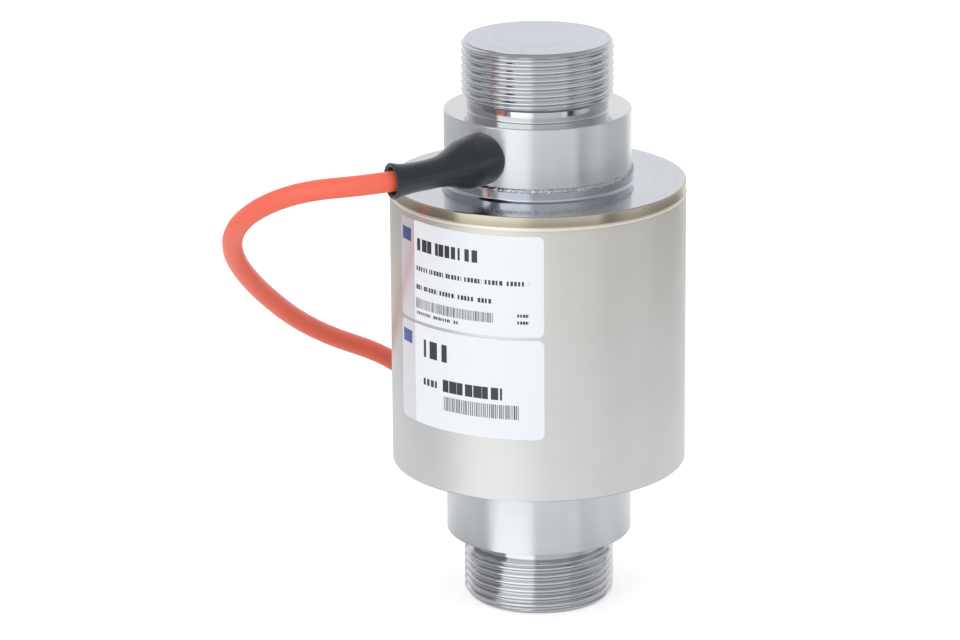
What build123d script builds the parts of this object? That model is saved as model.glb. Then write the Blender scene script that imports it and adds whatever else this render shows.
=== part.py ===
from build123d import *
import os
from math import cos, isclose, pi, radians, sin, tan

# A strain gauge load cell: a column with a threaded stub at each end, in a round casing.
# Millimetres. The origin is the centre of the lower end face, and +Z runs up the column.

# Measuring body, turned from one bar
thread_d = 39.0
stub_h = 18.0
top_chamfer = 0.9
bottom_chamfer = 1.5
neck_d = 36.2
upper_neck_h = 4.2
lower_neck_h = 3.2
neck_run_out = 1.2
collar_d = 48.0
lower_collar_h = 19.5
upper_collar_h = 18.75
collar_edge = 0.4
shoulder_depth = 12.0
shoulder_w = 9.0
flat_cut = 2.0
column_fillet = 4.0
flat_end_margin = 7.0

# Casing: a tube closed by two turned covers with thin diaphragms
casing_d = 76.0
casing_h = 71.5
casing_wall = 2.5
cover_rim_h = 3.25
base_rim_h = 3.0
cover_rim_w = 6.5
diaphragm_t = 0.8
lip_h = 2.4
lip_t = 0.4
lip_clearance = 0.05
lip_root_r = 0.6
spigot_h = 1.5
spigot_w = 2.0
spigot_clearance = 0.05

# Welds
seam_prep = 0.5
seam_bulge = 0.15
neck_weld_h = 0.9
neck_weld_belly = 0.55

# Cable entry in the upper collar
cable_d = 5.2
cable_rise = 10.25
cable_azimuth = 234.0
nipple_od = 9.6
nipple_id = 5.6
nipple_socket = 5.0
nipple_reach = 8.0
entry_bore_d = 6.0
entry_bore_depth = 12.0
channel_d = 5.0
channel_low_inset = 3.0
channel_high_inset = 9.0
inner_lead_d = 3.0
inner_lead_clearance = 1.0
inner_lead_bends = (1.7, 2.7)

# Shrunk sleeve on the nipple and the cable: distance from the collar, outside radius
sleeve_outside = (
    (-1.2, 6.5),
    (3.5, 6.45),
    (7.5, 6.3),
    (11.5, 5.1),
    (15.5, 4.05),
    (21.0, 3.75),
    (26.5, 3.85),
    (31.0, 4.6),
)
sleeve_clearance = 0.05
sleeve_shoulder = 3.0
sleeve_mouth_depth = 5.0
sleeve_mouth_r = 3.6
sleeve_saddle_gap = 0.05

# Cable: straight out of the sleeve, round the side of the casing and down to the coil behind it
first_run = 17.0
second_run = 19.7
second_azimuth = 214.0
free_points = (
    (-60.0, -43.0, 120.5),
    (-74.0, -34.0, 111.5),
    (-78.5, -18.0, 98.5),
    (-73.0, 1.5, 82.5),
    (-60.0, 22.5, 64.5),
    (-38.5, 40.5, 51.5),
    (-28.0, 47.5, 37.5),
    (-17.0, 57.0, 12.0),
)
landing_run = 14.5
run_share = 0.45

# Put-away coil behind the casing
coil_y = 115.0
coil_mean_d = 10 * cable_d
coil_turns_wide = 3
coil_turns_high = 6
coil_corner_r = 2.0
coil_press = 0.3
tie_t = 0.8
tie_arc = 9.0
tie_angles = {"coil_tie_left": 196.0, "coil_tie_right": 16.0}
tie_clearance = 0.05
lead_in_angle = -50.0
lead_in_length = 20.0
tail_start = 212.0
tail_arc = 62.0
end_sleeve_d = 5.8
end_sleeve_arc = 28.0
core_d = 1.4
core_length = 15.0
core_straight = 3.5
core_rest = 4.0
ferrule_d = 1.9
ferrule_length = 6.0
ferrule_clearance = 0.1
core_offset = 1.3
core_splay = {"core_red": 0.5, "core_black": -2.5, "core_green": -6.0, "core_white": 4.0}

# Labels on the casing
label_t = 0.12
label_gap = 0.02
label_start = -155.0
label_arc = 67.2
label_corner_r = 1.6
label_h = 26.2
label_drop = 1.7
label_spacing = 0.8

# Strain gauges on the column's flats, and the board that trims their bridge
gauge_angles = {
    "strain_gauge_right": 0.0,
    "strain_gauge_back": 90.0,
    "strain_gauge_left": 180.0,
    "strain_gauge_front": 270.0,
}
gauge_w = 8.0
gauge_h = 11.0
gauge_t = 0.2
gauge_corner_r = 0.6
terminal_w = 6.0
terminal_h = 3.0
terminal_t = 0.6
terminal_inset = 1.8
gauge_lead_d = 0.6
gauge_lead_inset = 8.5
gauge_lead_step = 1.2
gauge_lead_gap = 0.05
board_edge_gap = 2.0
board_column_gap = 1.0
board_t = 1.6
board_slot_angle = 45.0
spacer_h = 3.0
spacer_d = 3.6
board_screw_inset = 2.7
board_screw_angles = (110.0, 175.0, 275.0, 340.0)
screw_d = 2.5
screw_head_d = 4.5
screw_head_h = 1.8
screw_grip = 4.5
screw_clearance = 0.02
screw_tip_gap = 1.0
board_hole_clearance = 0.1
resistor_inset = 4.7
resistor_angles = (130.0, 152.0, 198.0, 220.0)
resistor_size = (7.0, 3.0, 2.5)
temperature_resistor_angle = 300.0
temperature_resistor_d = 5.0
temperature_resistor_h = 3.5

# Heights worked out from the sizes above
collar_low_z = stub_h
casing_low_z = collar_low_z + lower_collar_h
seam_z = casing_low_z + casing_h
cover_z = seam_z + cover_rim_h
collar_top_z = cover_z + upper_collar_h
cable_z = cover_z + cable_rise
top_z = collar_top_z + stub_h
low_shoulder_z = casing_low_z + shoulder_depth
high_shoulder_z = seam_z - shoulder_depth
column_mid_z = (low_shoulder_z + high_shoulder_z) / 2
board_top_z = high_shoulder_z - spacer_h
board_z = board_top_z - board_t
flat_top_z = high_shoulder_z - flat_end_margin
terminal_z = flat_top_z - terminal_inset - terminal_h / 2

# Radii
thread_r = thread_d / 2
neck_r = neck_d / 2
collar_r = collar_d / 2
column_r = collar_r - shoulder_w
flat_r = column_r - flat_cut
casing_r = casing_d / 2
casing_bore_r = casing_r - casing_wall
lip_in_r = collar_r + lip_clearance
lip_out_r = lip_in_r + lip_t
cable_r = cable_d / 2
nipple_r = nipple_od / 2
match_tolerance = 0.01
channel_low_r = collar_r - channel_low_inset
channel_high_r = collar_r - channel_high_inset
board_outer_r = casing_bore_r - board_edge_gap
board_inner_r = column_r + board_column_gap
board_screw_r = collar_r - board_screw_inset
gauge_lead_r = board_inner_r + gauge_lead_inset
resistor_r = board_outer_r - resistor_inset


def save(piece, name):
    piece.part.label = name
    export_step(piece.part, f"parts/{name}.step")


def along(azimuth, radius=1.0, z=0.0, centre_y=0.0):
    return Vector(radius * cos(radians(azimuth)), centre_y + radius * sin(radians(azimuth)), z)


def radial_plane(azimuth, centre_y=0.0):
    """Upright plane through an axis: its x runs outwards at the azimuth and its y runs up."""
    side = along(azimuth - 90)
    return Plane(origin=(0, centre_y, 0), x_dir=along(azimuth), z_dir=side)


# Measuring body: stubs, collars and gauge column in one piece
with BuildPart() as measuring_body:
    with BuildSketch(Plane.XZ):
        with BuildLine():
            Polyline(
                (0, 0),
                (thread_r - bottom_chamfer, 0),
                (thread_r, bottom_chamfer),
                (thread_r, collar_low_z - lower_neck_h - neck_run_out),
                (neck_r, collar_low_z - lower_neck_h),
                (neck_r, collar_low_z),
                (collar_r - collar_edge, collar_low_z),
                (collar_r, collar_low_z + collar_edge),
                (collar_r, low_shoulder_z),
                (column_r, low_shoulder_z),
                (column_r, high_shoulder_z),
                (collar_r, high_shoulder_z),
                (collar_r, collar_top_z - collar_edge),
                (collar_r - collar_edge, collar_top_z),
                (neck_r, collar_top_z),
                (neck_r, collar_top_z + upper_neck_h),
                (thread_r, collar_top_z + upper_neck_h + neck_run_out),
                (thread_r, top_z - top_chamfer),
                (thread_r - top_chamfer, top_z),
                (0, top_z),
                close=True,
            )
        make_face()
    revolve(axis=Axis.Z)
    circles = measuring_body.edges().filter_by(GeomType.CIRCLE)
    column_ends = circles.filter_by(lambda e: isclose(e.radius, column_r, abs_tol=match_tolerance))
    fillet(column_ends, column_fillet)
    flat_h = 2 * (flat_top_z - column_mid_z)
    with Locations((0, 0, column_mid_z)):
        with PolarLocations(flat_r + column_r / 2, 4):
            Box(column_r, 2 * column_r, flat_h, mode=Mode.SUBTRACT)
    # Radial seat for the nipple, and the sloping channel that leads its wires into the casing
    entry_plane = Plane(
        origin=along(cable_azimuth, collar_r, cable_z), x_dir=(0, 0, 1), z_dir=along(cable_azimuth)
    )
    with Locations(entry_plane):
        CounterBoreHole(entry_bore_d / 2, nipple_r, nipple_socket, entry_bore_depth)
    channel_low = along(cable_azimuth, channel_low_r, high_shoulder_z)
    channel_high = along(cable_azimuth, channel_high_r, cable_z)
    with Locations(Plane(origin=channel_low, z_dir=channel_low - channel_high)):
        Hole(channel_d / 2, depth=(channel_high - channel_low).length)
    # Tapped holes for the board's screws
    with Locations(Plane.XY.offset(high_shoulder_z).rotated((180, 0, 0))):
        with Locations(*[along(-a, board_screw_r) for a in board_screw_angles]):
            Hole(screw_d / 2 + screw_clearance, depth=screw_grip + screw_tip_gap)
save(measuring_body, "measuring_body")

# Casing tube, chamfered where the seams are welded
with BuildPart() as casing_tube:
    with BuildSketch(Plane.XZ):
        with BuildLine():
            Polyline(
                (casing_bore_r + seam_prep, casing_low_z),
                (casing_r, casing_low_z),
                (casing_r, seam_z - seam_prep),
                (casing_r - seam_prep, seam_z),
                (casing_bore_r, seam_z),
                (casing_bore_r, casing_low_z + seam_prep),
                close=True,
            )
        make_face()
    revolve(axis=Axis.Z)
save(casing_tube, "casing_tube")

# Top cover: rim on the tube, spigot inside it, thin diaphragm and a lip up the collar
with BuildPart() as top_cover:
    with BuildSketch(Plane.XZ):
        with BuildLine():
            spigot_r = casing_bore_r - spigot_clearance
            Polyline(
                (lip_out_r, cover_z + lip_root_r),
                (lip_out_r, cover_z + lip_h),
                (lip_in_r, cover_z + lip_h),
                (lip_in_r, cover_z - diaphragm_t),
                (casing_r - cover_rim_w, cover_z - diaphragm_t),
                (spigot_r - spigot_w, seam_z),
                (spigot_r - spigot_w, seam_z - spigot_h),
                (spigot_r, seam_z - spigot_h),
                (spigot_r, seam_z),
                (casing_r - seam_prep, seam_z),
                (casing_r, seam_z + seam_prep),
                (casing_r, cover_z - collar_edge),
                (casing_r - collar_edge, cover_z),
                (lip_out_r + lip_root_r, cover_z),
            )
            root_end = (lip_out_r + lip_root_r, cover_z)
            RadiusArc(root_end, (lip_out_r, cover_z + lip_root_r), lip_root_r)
        make_face()
    revolve(axis=Axis.Z)
save(top_cover, "top_cover")

# Base cover: sits inside the tube's lower end, with its lip down the lower collar
with BuildPart() as base_cover:
    with BuildSketch(Plane.XZ):
        with BuildLine():
            base_r = casing_bore_r - spigot_clearance
            Polyline(
                (lip_out_r, casing_low_z - lip_root_r),
                (lip_out_r, casing_low_z - lip_h),
                (lip_in_r, casing_low_z - lip_h),
                (lip_in_r, casing_low_z + diaphragm_t),
                (casing_r - cover_rim_w, casing_low_z + diaphragm_t),
                (casing_r - cover_rim_w + diaphragm_t, casing_low_z + base_rim_h),
                (base_r, casing_low_z + base_rim_h),
                (base_r, casing_low_z + seam_prep),
                (base_r - seam_prep, casing_low_z),
                (lip_out_r + lip_root_r, casing_low_z),
            )
            root_end = (lip_out_r + lip_root_r, casing_low_z)
            RadiusArc(root_end, (lip_out_r, casing_low_z - lip_root_r), -lip_root_r)
        make_face()
    revolve(axis=Axis.Z)
save(base_cover, "base_cover")

# Outer seam weld, in the groove between the tube and the top cover
with BuildPart() as top_seam_weld:
    with BuildSketch(Plane.XZ):
        with BuildLine():
            seam_low = (casing_r, seam_z - seam_prep)
            seam_high = (casing_r, seam_z + seam_prep)
            Polyline(seam_low, (casing_r - seam_prep, seam_z), seam_high)
            ThreePointArc(seam_high, (casing_r + seam_bulge, seam_z), seam_low)
        make_face()
    revolve(axis=Axis.Z)
save(top_seam_weld, "top_seam_weld")

# Lower seam weld, in the groove between the tube's bore and the base cover
with BuildPart() as base_seam_weld:
    with BuildSketch(Plane.XZ):
        with BuildLine():
            groove_in = (casing_bore_r - spigot_clearance - seam_prep, casing_low_z)
            groove_out = (casing_bore_r + seam_prep, casing_low_z)
            groove_belly = ((groove_in[0] + groove_out[0]) / 2, casing_low_z - seam_bulge)
            Polyline(
                groove_out,
                (casing_bore_r, casing_low_z + seam_prep),
                (casing_bore_r - spigot_clearance, casing_low_z + seam_prep),
                groove_in,
            )
            ThreePointArc(groove_in, groove_belly, groove_out)
        make_face()
    revolve(axis=Axis.Z)
save(base_seam_weld, "base_seam_weld")


def neck_weld(lip_end_z, direction):
    """Fillet bead that closes a cover's lip onto its collar."""
    tip_z = lip_end_z + direction * neck_weld_h
    middle = (collar_r + lip_t, lip_end_z + direction * neck_weld_belly)
    with BuildPart() as bead:
        with BuildSketch(Plane.XZ):
            with BuildLine():
                Polyline((collar_r, tip_z), (collar_r, lip_end_z), (lip_out_r, lip_end_z))
                ThreePointArc((lip_out_r, lip_end_z), middle, (collar_r, tip_z))
            make_face()
        revolve(axis=Axis.Z)
    return bead


upper_neck_weld = neck_weld(cover_z + lip_h, 1)
save(upper_neck_weld, "upper_neck_weld")
lower_neck_weld = neck_weld(casing_low_z - lip_h, -1)
save(lower_neck_weld, "lower_neck_weld")

# Nipple pressed into the collar, with the potting that seals the wires inside it
with BuildPart() as cable_nipple:
    with BuildSketch(entry_plane.offset(-nipple_socket)):
        Circle(nipple_r)
        Circle(nipple_id / 2, mode=Mode.SUBTRACT)
    extrude(amount=nipple_socket + nipple_reach)
save(cable_nipple, "cable_nipple")

with BuildPart() as nipple_potting:
    with BuildSketch(entry_plane.offset(-nipple_socket)):
        Circle(nipple_id / 2)
    extrude(amount=nipple_socket)
save(nipple_potting, "nipple_potting")

# Route of the cable, from the nipple's mouth in the collar to the coil
exit_point = along(cable_azimuth, collar_r, cable_z)
first_corner = exit_point + along(cable_azimuth) * first_run
second_corner = first_corner + along(second_azimuth) * second_run
coil_outer_turn_r = coil_mean_d / 2 + (coil_turns_wide - 1) / 2 * cable_d - coil_press
coil_low_z = tie_t
lead_in_z = coil_low_z + coil_press + cable_r
lead_in_heading = along(lead_in_angle + 90)
tangent_point = along(lead_in_angle, coil_outer_turn_r, lead_in_z, coil_y)
lead_in_point = tangent_point - lead_in_heading * lead_in_length
landing_point = lead_in_point - lead_in_heading * landing_run
route = [exit_point, first_corner, second_corner]
route += [Vector(*point) for point in free_points]
route += [landing_point, lead_in_point]


def bend_radii(points):
    """Largest arc that each corner's two runs leave room for."""
    radii = []
    for before, corner, after in zip(points, points[1:], points[2:]):
        turn = (corner - before).get_angle(after - corner)
        shorter = min((corner - before).length, (after - corner).length)
        radii.append(run_share * shorter / tan(radians(turn / 2)))
    return radii


cable_radii = bend_radii(route)
print("cable bend radii:", [round(r, 1) for r in cable_radii])

with BuildPart() as cable_lead:
    with BuildLine() as cable_path:
        FilletPolyline(*route, radius=cable_radii)
    cable_wire = cable_path.wires()[0]
    with BuildSketch(Plane(origin=cable_wire @ 0, z_dir=cable_wire % 0)):
        Circle(cable_r)
    sweep(path=cable_wire)
save(cable_lead, "cable_lead")
cable_length = cable_wire.length
cable_section = pi * cable_r**2
volume_ratio = cable_lead.part.volume / (cable_section * cable_length)
print("cable tube length:", round(cable_length, 1), "volume ratio:", round(volume_ratio, 6))


# Shrunk sleeve: round sections set along the cable's own path
def path_plane(distance):
    if distance < 0:
        return entry_plane.offset(distance)
    share = distance / cable_length
    return Plane(origin=cable_wire @ share, x_dir=(0, 0, 1), z_dir=cable_wire % share)


sleeve_length = sleeve_outside[-1][0]
bore_r = cable_r + sleeve_clearance
grip_r = nipple_r + sleeve_clearance

with BuildPart() as cable_sleeve:
    for distance, radius in sleeve_outside:
        with BuildSketch(path_plane(distance)):
            Circle(radius)
    loft()
    # Bore that follows the cable
    with BuildLine() as sleeve_path:
        FilletPolyline(*route[:3], radius=cable_radii[0])
    with BuildSketch(entry_plane):
        Circle(bore_r)
    sweep(path=sleeve_path.wires()[0], mode=Mode.SUBTRACT)
    # Seat on the nipple, and the shoulder where the sleeve shrank past its end
    with BuildSketch(entry_plane.offset(sleeve_outside[0][0])):
        Circle(grip_r)
    extrude(amount=nipple_reach - sleeve_outside[0][0], mode=Mode.SUBTRACT)
    # Each cone starts inside the bore, so that it cuts the bore's wall in a clean ring
    cone_root_r = cable_r / 2
    for distance, radius in ((nipple_reach, grip_r), (nipple_reach + sleeve_shoulder, cone_root_r)):
        with BuildSketch(entry_plane.offset(distance)):
            Circle(radius)
    loft(mode=Mode.SUBTRACT)
    mouth_start = sleeve_length - sleeve_mouth_depth
    for distance, radius in ((mouth_start, cone_root_r), (sleeve_length, sleeve_mouth_r)):
        with BuildSketch(path_plane(distance)):
            Circle(radius)
    loft(mode=Mode.SUBTRACT)
    with Locations((0, 0, cable_z)):
        Cylinder(collar_r + sleeve_saddle_gap, 6 * nipple_od, mode=Mode.SUBTRACT)
save(cable_sleeve, "cable_sleeve")

# Coil: the outer shape of the wound turns, with the lead-in that meets the cable's tube
coil_w = coil_turns_wide * cable_d
coil_h = coil_turns_high * cable_d
coil_mean_r = coil_mean_d / 2
coil_top_z = coil_low_z + coil_h
tail_z = coil_top_z + end_sleeve_d / 2 + tie_clearance
coil_axis = Axis((0, coil_y, 0), (0, 0, 1))

with BuildPart() as cable_coil:
    with BuildSketch(radial_plane(tail_start, coil_y)):
        with Locations((coil_mean_r, coil_low_z + coil_h / 2)):
            RectangleRounded(coil_w, coil_h, coil_corner_r)
    revolve(axis=coil_axis)
    with BuildSketch(Plane(origin=lead_in_point, z_dir=lead_in_heading)):
        Circle(cable_r)
    extrude(amount=lead_in_length)
    # The last stretch lies on top of the turns
    tail_h = tail_z + cable_r - coil_top_z + coil_press
    with BuildSketch(radial_plane(tail_start, coil_y)):
        with Locations((coil_mean_r, coil_top_z - coil_press + tail_h / 2)):
            RectangleRounded(cable_d, tail_h, coil_corner_r)
    revolve(axis=coil_axis, revolution_arc=tail_arc)
save(cable_coil, "cable_coil")

# Ties round the coil's section; the coil stands on them
for tie_name, tie_angle in tie_angles.items():
    with BuildPart() as coil_tie:
        with BuildSketch(radial_plane(tie_angle - tie_arc / 2, coil_y)):
            with Locations((coil_mean_r, coil_low_z + coil_h / 2)):
                RectangleRounded(coil_w + 2 * tie_t, coil_h + 2 * tie_t, coil_corner_r + tie_t)
                RectangleRounded(
                    coil_w + 2 * tie_clearance, coil_h + 2 * tie_clearance, coil_corner_r + tie_clearance,
                    mode=Mode.SUBTRACT,
                )
        revolve(axis=coil_axis, revolution_arc=tie_arc)
    save(coil_tie, tie_name)

# Free end of the cable: a shrunk sleeve and the stripped cores with their ferrules
tail_end = tail_start + tail_arc
with BuildPart() as cable_end_sleeve:
    with BuildSketch(radial_plane(tail_end, coil_y)):
        with Locations((coil_mean_r, tail_z)):
            Circle(end_sleeve_d / 2)
    revolve(axis=coil_axis, revolution_arc=end_sleeve_arc)
save(cable_end_sleeve, "cable_end_sleeve")

core_angle = tail_end + end_sleeve_arc
core_heading = along(core_angle + 90)
core_out = along(core_angle)
core_root = along(core_angle, coil_mean_r, tail_z, coil_y)
core_end_z = coil_top_z + ferrule_d / 2 + ferrule_clearance
ferrule_planes = []
for index, (core_name, splay) in enumerate(core_splay.items()):
    corner = radians(45 + 90 * index)
    offset = core_out * (core_offset * cos(corner)) + Vector(0, 0, core_offset * sin(corner))
    core_start = core_root + offset
    core_bend = core_start + core_heading * core_straight
    core_end = core_root + core_heading * core_length + core_out * splay
    core_end.Z = core_end_z
    core_touch = core_end - core_heading * core_rest
    core_route = [core_start, core_bend, core_touch, core_end]
    with BuildPart() as core:
        with BuildLine() as core_path:
            FilletPolyline(*core_route, radius=bend_radii(core_route))
        core_wire = core_path.wires()[0]
        with BuildSketch(Plane(origin=core_start, z_dir=core_heading)):
            Circle(core_d / 2)
        sweep(path=core_wire)
    save(core, core_name)
    ferrule_planes.append(Plane(origin=core_end, z_dir=core_wire % 1))

with BuildPart() as core_ferrules:
    for ferrule_plane in ferrule_planes:
        with BuildSketch(ferrule_plane):
            Circle(ferrule_d / 2)
    extrude(amount=ferrule_length)
save(core_ferrules, "core_ferrules")

# Labels, wrapped round the casing
for index, label_name in enumerate(("label_upper", "label_lower")):
    label_top_z = seam_z - label_drop - index * (label_h + label_spacing)
    with BuildPart() as casing_label:
        with BuildSketch(radial_plane(label_start)):
            with Locations((casing_r + label_gap + label_t / 2, label_top_z - label_h / 2)):
                Rectangle(label_t, label_h)
        revolve(axis=Axis.Z, revolution_arc=label_arc)
        fillet(casing_label.edges().filter_by(lambda e: e.length < 2 * label_t), label_corner_r)
    save(casing_label, label_name)

# Strain gauges, one on each flat of the column
for gauge_name, gauge_angle in gauge_angles.items():
    flat_centre = along(gauge_angle, flat_r, column_mid_z)
    with BuildPart() as strain_gauge:
        with BuildSketch(Plane(origin=flat_centre, x_dir=(0, 0, 1), z_dir=along(gauge_angle))):
            RectangleRounded(gauge_h, gauge_w, gauge_corner_r)
        extrude(amount=gauge_t)
    save(strain_gauge, gauge_name)

# Solder terminals above the gauges
with BuildPart() as gauge_terminals:
    with Locations((0, 0, terminal_z)):
        with PolarLocations(flat_r + terminal_t / 2, 4):
            Box(terminal_t, terminal_w, terminal_h)
save(gauge_terminals, "gauge_terminals")

# Wires from the terminals to the board's underside
with BuildPart() as gauge_leads:
    lead_root_r = flat_r + terminal_t / 2 + gauge_lead_gap
    lead_root_z = terminal_z + terminal_h / 2
    for gauge_angle in gauge_angles.values():
        lead_points = (
            along(gauge_angle, lead_root_r, lead_root_z),
            along(gauge_angle, lead_root_r, lead_root_z + gauge_lead_step),
            along(gauge_angle, gauge_lead_r, board_z - 2 * gauge_lead_step),
            along(gauge_angle, gauge_lead_r, board_z),
        )
        with BuildLine() as lead_path:
            FilletPolyline(*lead_points, radius=gauge_lead_d)
        with BuildSketch(Plane(origin=lead_points[0], z_dir=(0, 0, 1))):
            Circle(gauge_lead_d / 2)
        sweep(path=lead_path.wires()[0])
save(gauge_leads, "gauge_leads")

# Trimming board: a C that slides onto the column, hung from the upper shoulder
with BuildPart() as circuit_board:
    with BuildSketch(Plane.XY.offset(board_z)):
        Circle(board_outer_r)
        Circle(board_inner_r, mode=Mode.SUBTRACT)
        with Locations(Location(along(board_slot_angle, board_outer_r), board_slot_angle)):
            Rectangle(2 * board_outer_r, 2 * board_inner_r, mode=Mode.SUBTRACT)
        with Locations(*[along(a, board_screw_r) for a in board_screw_angles]):
            Circle(screw_d / 2 + board_hole_clearance, mode=Mode.SUBTRACT)
    extrude(amount=board_t)
save(circuit_board, "circuit_board")

with BuildPart() as board_spacers:
    with BuildSketch(Plane.XY.offset(board_top_z)):
        with Locations(*[along(a, board_screw_r) for a in board_screw_angles]):
            Circle(spacer_d / 2)
            Circle(screw_d / 2 + board_hole_clearance, mode=Mode.SUBTRACT)
    extrude(amount=spacer_h)
save(board_spacers, "board_spacers")

with BuildPart() as board_screws:
    with BuildSketch(Plane.XY.offset(board_z - screw_head_h)):
        with Locations(*[along(a, board_screw_r) for a in board_screw_angles]):
            Circle(screw_head_d / 2)
    extrude(amount=screw_head_h)
    with BuildSketch(Plane.XY.offset(board_z)):
        with Locations(*[along(a, board_screw_r) for a in board_screw_angles]):
            Circle(screw_d / 2)
    extrude(amount=board_t + spacer_h + screw_grip)
save(board_screws, "board_screws")

with BuildPart() as trim_resistors:
    resistor_length, resistor_width, resistor_height = resistor_size
    for resistor_angle in resistor_angles:
        spot = along(resistor_angle, resistor_r, board_z - resistor_height / 2)
        with Locations(Location(spot, resistor_angle + 90)):
            Box(resistor_length, resistor_width, resistor_height)
save(trim_resistors, "trim_resistors")

with BuildPart() as temperature_resistor:
    with BuildSketch(Plane.XY.offset(board_z - temperature_resistor_h)):
        with Locations(along(temperature_resistor_angle, resistor_r)):
            Circle(temperature_resistor_d / 2)
    extrude(amount=temperature_resistor_h)
save(temperature_resistor, "temperature_resistor")

# Bundle of the cable's cores, from the potting down the channel to the board
with BuildPart() as inner_lead:
    inner_start = along(cable_azimuth, collar_r - nipple_socket, cable_z)
    inner_points = (
        inner_start,
        along(cable_azimuth, channel_high_r, cable_z),
        along(cable_azimuth, channel_low_r, high_shoulder_z + inner_lead_clearance),
        along(cable_azimuth, channel_low_r, board_top_z),
    )
    with BuildLine() as inner_path:
        FilletPolyline(*inner_points, radius=inner_lead_bends)
    inner_wire = inner_path.wires()[0]
    with BuildSketch(Plane(origin=inner_start, z_dir=inner_wire % 0)):
        Circle(inner_lead_d / 2)
    sweep(path=inner_wire)
save(inner_lead, "inner_lead")
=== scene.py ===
from math import cos, hypot, pi, radians, sin

import bmesh
import bpy
from mathutils import Matrix, Vector, noise


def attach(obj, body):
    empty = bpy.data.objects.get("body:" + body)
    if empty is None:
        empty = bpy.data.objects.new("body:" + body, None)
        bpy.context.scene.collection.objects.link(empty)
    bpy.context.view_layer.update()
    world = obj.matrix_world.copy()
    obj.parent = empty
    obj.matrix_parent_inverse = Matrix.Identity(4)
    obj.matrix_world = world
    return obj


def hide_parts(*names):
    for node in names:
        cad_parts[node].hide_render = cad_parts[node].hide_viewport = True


# A strain gauge load cell. Metres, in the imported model's frame: +Z runs up the column, -Y faces the camera.
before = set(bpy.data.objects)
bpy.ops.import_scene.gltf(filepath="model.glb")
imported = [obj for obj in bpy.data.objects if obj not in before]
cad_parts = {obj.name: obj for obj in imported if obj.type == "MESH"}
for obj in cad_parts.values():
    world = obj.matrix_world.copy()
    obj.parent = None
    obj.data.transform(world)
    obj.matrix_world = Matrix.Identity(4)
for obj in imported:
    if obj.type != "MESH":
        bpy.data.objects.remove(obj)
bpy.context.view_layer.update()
mm = 0.001

# Turned profile, in millimetres
thread_r, thread_root_r, thread_pitch = 19.5, 18.55, 2.0
neck_r, collar_r, casing_r, casing_bore_r = 18.1, 24.0, 38.0, 35.5
column_r, column_flat_r = 15.0, 13.0
top_z, collar_top_z, cover_z, seam_z = 149.0, 131.0, 112.25, 109.0
casing_low_z, collar_low_z = 37.5, 18.0
lower_thread_z, upper_thread_z = 14.8, 133.8
shoulder_depth = 12.0
lip_h, lip_in_r, lip_out_r = 2.4, 24.05, 24.45

# Cable and coil, in millimetres and degrees
cable_d = 5.2
coil_y, coil_mean_r = 115.0, 26.0
coil_layers = (30.9, 25.7, 20.5)
coil_levels = 6
coil_floor_z, tail_z = 3.4, 34.95
lead_in_angle, cable_end_angle = -50.0, 300.0
points_per_turn = 24

# Angles between which each layer climbs to its next turn, and the winding moves in to the next layer
climb_windows = ((215, 290), (65, 150), (240, 350))
shift_windows = ((150, 215), (-10, 65))
# The last turn climbs on top, then moves out over this angle
top_window = (40, 130)
move_out_turn = 90

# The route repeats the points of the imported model's cable, and the last two follow the coil's lead-in
route = (
    (-14.107, -19.416, 122.5),
    (-24.10, -33.17, 122.5),
    (-40.43, -44.19, 122.5),
    (-60.0, -43.0, 120.5),
    (-74.0, -34.0, 111.5),
    (-78.5, -18.0, 98.5),
    (-73.0, 1.5, 82.5),
    (-60.0, 22.5, 64.5),
    (-38.5, 40.5, 51.5),
    (-28.0, 47.5, 37.5),
    (-17.0, 57.0, 12.0),
    (-6.57, 69.15, 3.7),
    (4.54, 78.47, 3.7),
)

# Labels, in millimetres and degrees
label_start, label_span = -155.0, 67.2
label_w, label_h = radians(label_span) * casing_r, 26.2
label_corner_r, film_lift, film_thick = 1.6, 0.02, 0.12
upper_label_z, lower_label_z = 107.3, 80.3
strip_w = 6.7

# Rings of cards round the studio, in millimetres
card_near_r, card_mid_r, card_far_r = 24, 66, 330
card_floor_z, card_low_z, card_high_z, card_top_z = 0.5, 78, 140, 520


# Camera and cable


def make_camera():
    """The photograph's own viewpoint: slightly above, with a long lens."""
    tilt, turn, roll = radians(17.033), radians(-0.794), radians(-0.423)
    ahead = Vector((sin(turn) * cos(tilt), cos(turn) * cos(tilt), -sin(tilt)))
    level = Vector((cos(turn), -sin(turn), 0))
    above = level.cross(ahead)
    right = level * cos(roll) + above * sin(roll)
    up = above * cos(roll) - level * sin(roll)
    place = Matrix.Translation((0, -1.08716, 0.40723))
    camera_data = bpy.data.cameras.new("camera")
    camera_data.lens = 165.0
    camera_data.sensor_width = 36.0
    camera = bpy.data.objects.new("camera", camera_data)
    bpy.context.collection.objects.link(camera)
    camera.matrix_world = place @ Matrix((right, up, -ahead)).transposed().to_4x4()
    bpy.context.scene.camera = camera


def eased(share):
    """0 to 1 along two parabolas, the gentlest bend for the way."""
    share = min(max(share, 0.0), 1.0)
    return 2 * share * share if share < 0.5 else 1 - 2 * (1 - share) ** 2


def next_window(angle, window):
    """The first time after an angle that the winding comes round to a window of angles."""
    start = angle + (window[0] - angle) % 360
    return start, start + window[1] - window[0]


def around_coil(radius, angle, z):
    """A point by its radius and angle about the coil's own axis."""
    return radius * cos(radians(angle)), coil_y + radius * sin(radians(angle)), z


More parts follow.
